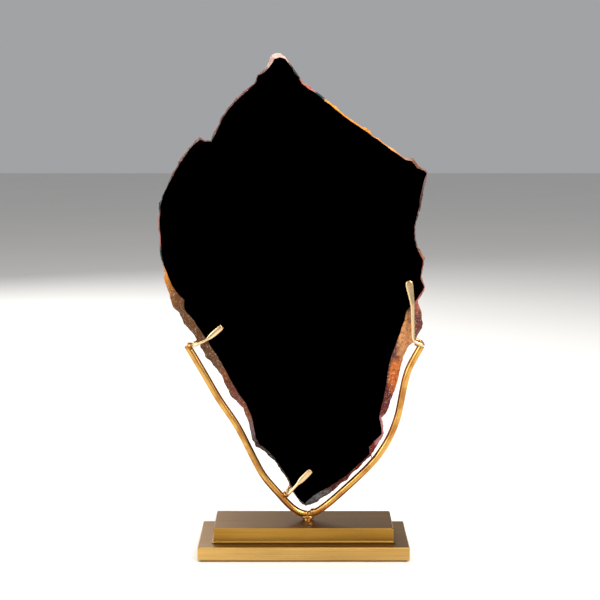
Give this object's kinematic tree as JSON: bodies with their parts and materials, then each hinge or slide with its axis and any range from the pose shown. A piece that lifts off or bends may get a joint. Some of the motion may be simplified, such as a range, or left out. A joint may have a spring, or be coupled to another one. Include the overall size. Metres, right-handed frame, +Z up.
{
  "type": "jasper slab on a brass stand",
  "caption": "Upright polished slab of banded jasper with a broken rim, held by a brass rod cradle with flattened claws on a stepped brass base.",
  "frame": {"origin": "centre of the underside of the felt pad, which the stand rests on", "axes": "+Z up, +X to the right seen from the front, -Y is the front, which the polished face and the claws' fingertips look to"},
  "size_m": [0.2015, 0.072, 0.3757],
  "materials": {
    "jasper": "opaque polished stone: golden, salmon, green and maroon bands, matte broken rim",
    "brass": "satin brushed, polished chamfers, light patina",
    "felt": "dark felt"
  },
  "bodies": {
    "root": {"felt_pad": "felt", "base_lower": "brass", "base_upper": "brass", "stem": "brass", "left_arm": "brass", "right_arm": "brass", "left_claw": "brass", "right_claw": "brass", "lower_claw": "brass", "jasper_slab": "jasper"}
  },
  "joints": []
}
